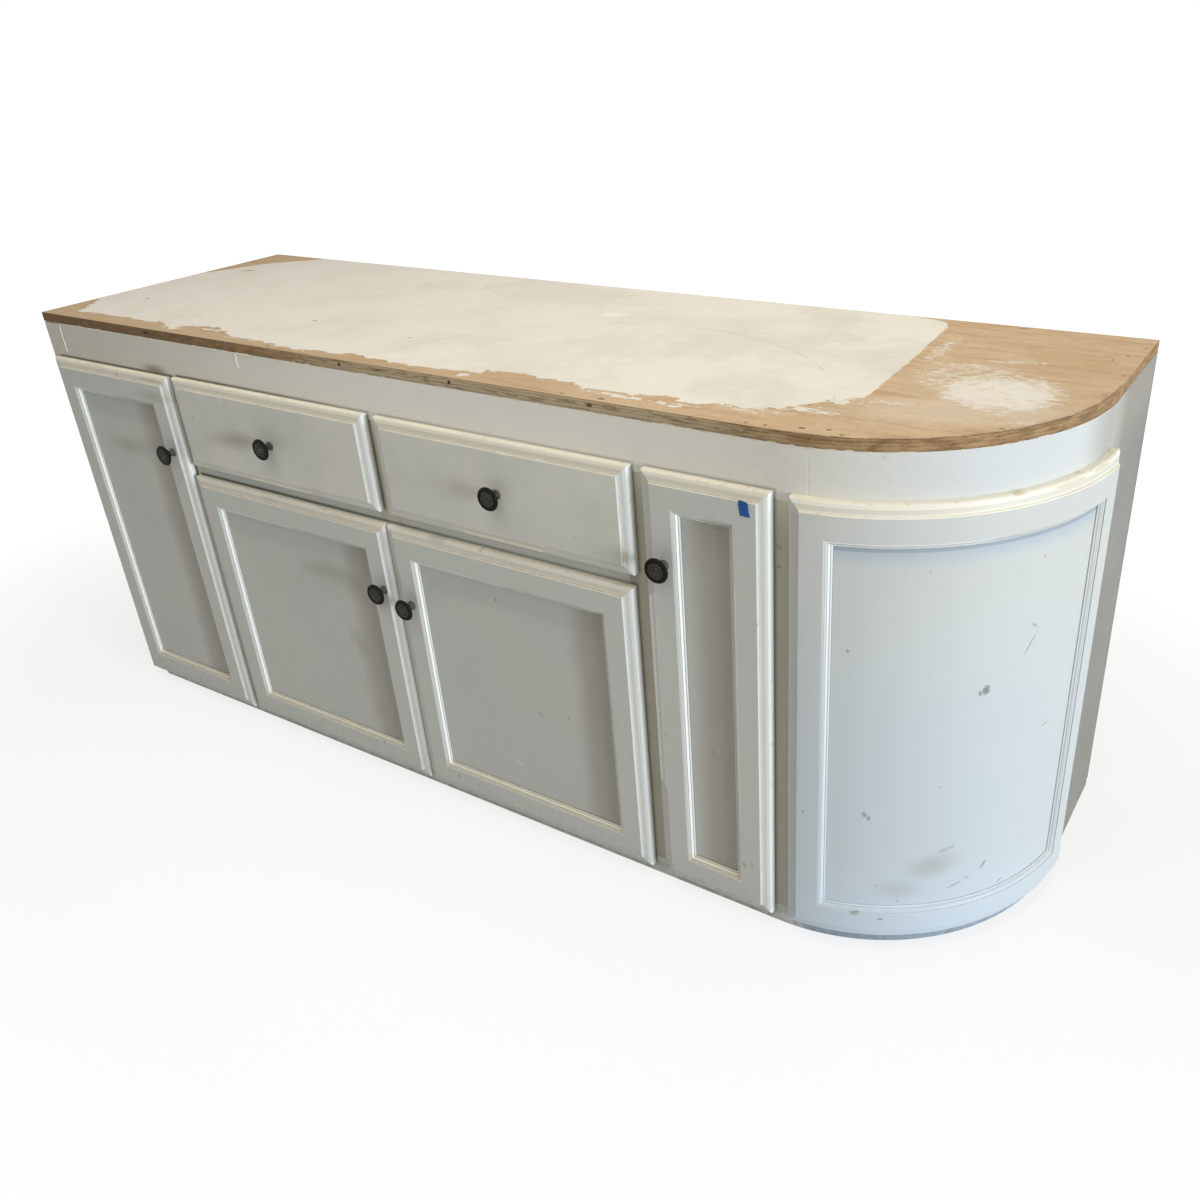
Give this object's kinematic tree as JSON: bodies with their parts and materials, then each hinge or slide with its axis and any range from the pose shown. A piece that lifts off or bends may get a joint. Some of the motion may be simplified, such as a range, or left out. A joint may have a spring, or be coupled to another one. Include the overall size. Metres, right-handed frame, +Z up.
{
  "type": "kitchen base cabinet",
  "caption": "Long kitchen base cabinet with a quarter-round end: painted face frame, framed doors, moulded drawers on runners, a fixed curved panel and a bare plywood sub-top.",
  "frame": {"origin": "middle of the base: the centre of the overall outline in plan, at floor level", "axes": "+X to the right along the front, +Y from the front to the back, +Z up"},
  "size_m": [2.099, 0.666, 0.876],
  "materials": {
    "painted_wood": "worn antique-white paint, satin",
    "plywood": "bare plywood, matt",
    "drawer_wood": "bare solid wood, matt",
    "dark_bronze": "dark bronze, satin",
    "steel": "zinc-plated, satin"
  },
  "bodies": {
    "cabinet": {"back_panel": "plywood", "curved_bottom_rail": "painted_wood", "curved_panel_board": "painted_wood", "curved_panel_rails": "painted_wood", "curved_panel_stiles": "painted_wood", "curved_ribs": "plywood", "curved_skin": "painted_wood", "curved_top_rail": "painted_wood", "drawer_channels": "steel", "drawer_packers": "plywood", "floor_bearers": "plywood", "floor_deck": "plywood", "frame_bottom_rail": "painted_wood", "frame_centre_stile": "painted_wood", "frame_end_stile": "painted_wood", "frame_left_stile": "painted_wood", "frame_mid_rails": "painted_wood", "frame_stile_1": "painted_wood", "frame_stile_3": "painted_wood", "frame_top_rail": "painted_wood", "hinge_plates": "steel", "left_side": "painted_wood", "partitions": "plywood", "plywood_top": "plywood", "right_side": "painted_wood", "shelf_pins": "steel", "shelves": "plywood", "top_nails": "steel"},
    "door_1": {"door_1_hinges": "steel", "door_1_knob": "dark_bronze", "door_1_panel": "painted_wood", "door_1_rails": "painted_wood", "door_1_stiles": "painted_wood"},
    "door_2": {"door_2_hinges": "steel", "door_2_knob": "dark_bronze", "door_2_panel": "painted_wood", "door_2_rails": "painted_wood", "door_2_stiles": "painted_wood"},
    "door_3": {"door_3_hinges": "steel", "door_3_knob": "dark_bronze", "door_3_panel": "painted_wood", "door_3_rails": "painted_wood", "door_3_stiles": "painted_wood"},
    "door_4": {"door_4_hinges": "steel", "door_4_knob": "dark_bronze", "door_4_panel": "painted_wood", "door_4_rails": "painted_wood", "door_4_stiles": "painted_wood"},
    "drawer_1": {"drawer_1_bottom": "drawer_wood", "drawer_1_ends": "drawer_wood", "drawer_1_front": "painted_wood", "drawer_1_knob": "dark_bronze", "drawer_1_runners": "steel", "drawer_1_sides": "drawer_wood"},
    "drawer_2": {"drawer_2_bottom": "drawer_wood", "drawer_2_ends": "drawer_wood", "drawer_2_front": "painted_wood", "drawer_2_knob": "dark_bronze", "drawer_2_runners": "steel", "drawer_2_sides": "drawer_wood"}
  },
  "joints": [
    {"name": "door_1_swing", "type": "hinge", "parent": "cabinet", "child": "door_1", "pos_m": [-1.027, -0.308, 0.4035], "axis": [0, 0, -1], "range_deg": [0, 105]},
    {"name": "door_2_swing", "type": "hinge", "parent": "cabinet", "child": "door_2", "pos_m": [-0.637, -0.308, 0.3045], "axis": [0, 0, -1], "range_deg": [0, 105]},
    {"name": "door_3_swing", "type": "hinge", "parent": "cabinet", "child": "door_3", "pos_m": [0.429, -0.308, 0.3045], "axis": [0, 0, 1], "range_deg": [0, 105]},
    {"name": "door_4_swing", "type": "hinge", "parent": "cabinet", "child": "door_4", "pos_m": [0.669, -0.308, 0.4065], "axis": [0, 0, 1], "range_deg": [0, 105]},
    {"name": "drawer_1_slide", "type": "slide", "parent": "cabinet", "child": "drawer_1", "axis": [0, -1, 0], "range_m": [0, 0.38]},
    {"name": "drawer_2_slide", "type": "slide", "parent": "cabinet", "child": "drawer_2", "axis": [0, -1, 0], "range_m": [0, 0.38]}
  ]
}
